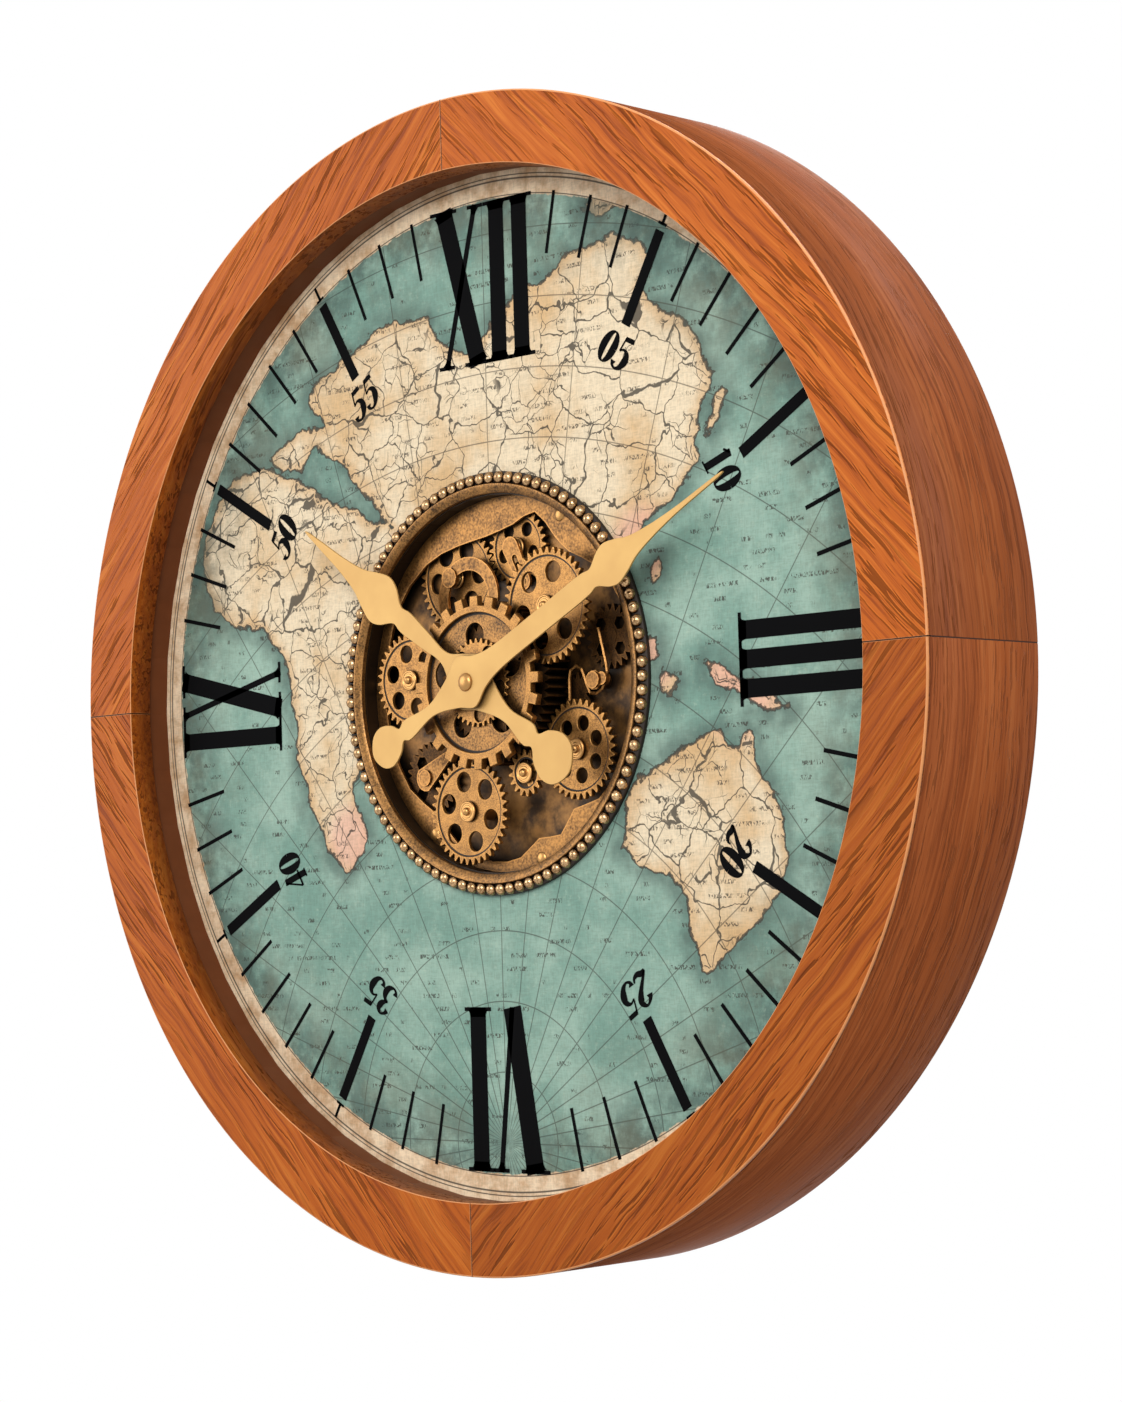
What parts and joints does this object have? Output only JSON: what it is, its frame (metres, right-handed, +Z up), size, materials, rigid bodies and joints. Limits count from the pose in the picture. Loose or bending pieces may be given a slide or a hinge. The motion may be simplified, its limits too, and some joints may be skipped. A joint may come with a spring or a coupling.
{
  "type": "gear wall clock",
  "caption": "Round wooden wall clock with a printed map dial, spade hands and an open train of meshed bronze wheels inside a beaded bezel.",
  "frame": {"origin": "centre of the rear rim plane, on the clock's axis, where the clock meets the wall", "axes": "+Z up, +X to the right as seen from the front, +Y into the wall, so the dial faces -Y"},
  "size_m": [0.6, 0.084, 0.6],
  "materials": {
    "face_wood": "stained oak, satin",
    "side_wood": "stained oak, darker, satin",
    "liner_wood": "dark stained, satin",
    "raw_wood": "bare board",
    "dial_print": "printed board, matt",
    "bronze": "antique bronze plating",
    "dark_bronze": "dark antique bronze plating",
    "hand_gold": "pale gold coating",
    "steel": "plain",
    "black_plastic": "moulded",
    "cell_print": "printed sleeve"
  },
  "bodies": {
    "case": {"arch_bridge": "bronze", "back_board": "raw_wood", "beaded_bezel": "bronze", "bottom_arbor": "bronze", "centre_bush": "steel", "dial_board": "dial_print", "face_segment_bottom_left": "face_wood", "face_segment_bottom_right": "face_wood", "face_segment_top_left": "face_wood", "face_segment_top_right": "face_wood", "gear_well": "dark_bronze", "hanger_plate": "steel", "left_arbor": "bronze", "left_lever": "bronze", "liner_ring": "liner_wood", "lower_left_wheel": "dark_bronze", "lower_right_arbor": "bronze", "motor_case": "black_plastic", "motor_cell": "cell_print", "movement_case": "black_plastic", "movement_cell": "cell_print", "right_spring": "bronze", "right_wheel": "dark_bronze", "rim_plate": "bronze", "rim_stud_1": "bronze", "rim_stud_2": "bronze", "rim_stud_3": "bronze", "rim_stud_4": "bronze", "side_segment_bottom_left": "side_wood", "side_segment_bottom_right": "side_wood", "side_segment_top_left": "side_wood", "side_segment_top_right": "side_wood", "small_arbor": "bronze", "support_block_bottom_left": "raw_wood", "support_block_bottom_right": "raw_wood", "support_block_top_left": "raw_wood", "support_block_top_right": "raw_wood", "top_arbor": "bronze", "top_lever": "bronze", "upper_left_arbor": "bronze", "upper_right_arbor": "bronze"},
    "centre_train": {"centre_drum": "dark_bronze", "centre_ring": "bronze"},
    "minute_train": {"minute_hand": "hand_gold", "minute_arbor": "steel", "setting_knob": "black_plastic", "hand_nut": "hand_gold"},
    "hour_train": {"hour_hand": "hand_gold", "hour_tube": "steel"},
    "switch_slider": {"gear_switch": "black_plastic"},
    "turning_bottom": {"bottom_gear": "bronze"},
    "turning_left": {"left_gear": "bronze"},
    "turning_upper_right": {"upper_right_gear": "bronze"},
    "turning_lower_right": {"lower_right_gear": "bronze"},
    "turning_small": {"small_gear": "bronze"},
    "turning_upper_left": {"upper_left_gear": "bronze"},
    "turning_motor": {"motor_pinion": "steel"},
    "turning_top": {"top_gear": "bronze"}
  },
  "joints": [
    {"name": "centre_spin", "type": "hinge", "parent": "case", "child": "centre_train", "pos_m": [0, -0.05, 0], "axis": [0, 1, 0], "continuous": true},
    {"name": "minute_spin", "type": "hinge", "parent": "case", "child": "minute_train", "pos_m": [0, -0.05, 0], "axis": [0, 1, 0], "continuous": true},
    {"name": "hour_spin", "type": "hinge", "parent": "case", "child": "hour_train", "pos_m": [0, -0.05, 0], "axis": [0, 1, 0], "continuous": true},
    {"name": "bottom_spin", "type": "hinge", "parent": "case", "child": "turning_bottom", "pos_m": [-0.01872, -0.05, -0.06527], "axis": [0, 1, 0], "continuous": true},
    {"name": "left_spin", "type": "hinge", "parent": "case", "child": "turning_left", "pos_m": [-0.06552, -0.05, 0.00608], "axis": [0, 1, 0], "continuous": true},
    {"name": "upper_right_spin", "type": "hinge", "parent": "case", "child": "turning_upper_right", "pos_m": [0.04553, -0.05, 0.03609], "axis": [0, 1, 0], "continuous": true},
    {"name": "lower_right_spin", "type": "hinge", "parent": "case", "child": "turning_lower_right", "pos_m": [0.05455, -0.05, -0.03679], "axis": [0, 1, 0], "continuous": true},
    {"name": "small_spin", "type": "hinge", "parent": "case", "child": "turning_small", "pos_m": [0.02301, -0.05, -0.04719], "axis": [0, 1, 0], "continuous": true},
    {"name": "upper_left_spin", "type": "hinge", "parent": "case", "child": "turning_upper_left", "pos_m": [-0.03558, -0.05, 0.05783], "axis": [0, 1, 0], "continuous": true},
    {"name": "motor_spin", "type": "hinge", "parent": "case", "child": "turning_motor", "pos_m": [0.04922, -0.05, -0.00692], "axis": [0, 1, 0], "continuous": true},
    {"name": "top_spin", "type": "hinge", "parent": "case", "child": "turning_top", "pos_m": [0.00903, -0.05, 0.06987], "axis": [0, 1, 0], "continuous": true},
    {"name": "switch_slide", "type": "slide", "parent": "case", "child": "switch_slider", "axis": [1, 0, 0], "range_m": [0, 0.003]}
  ],
  "couplings": [
    {"joint": "hour_spin", "follows": "minute_spin", "ratio": 0.083333},
    {"joint": "bottom_spin", "follows": "centre_spin", "ratio": -1.5526},
    {"joint": "left_spin", "follows": "centre_spin", "ratio": -1.6857},
    {"joint": "upper_right_spin", "follows": "centre_spin", "ratio": -1.0244},
    {"joint": "lower_right_spin", "follows": "centre_spin", "ratio": -1.6857},
    {"joint": "small_spin", "follows": "centre_spin", "ratio": -3.6875},
    {"joint": "upper_left_spin", "follows": "centre_spin", "ratio": -1.5526},
    {"joint": "motor_spin", "follows": "centre_spin", "ratio": -4.9167},
    {"joint": "top_spin", "follows": "centre_spin", "ratio": 2.1071}
  ]
}
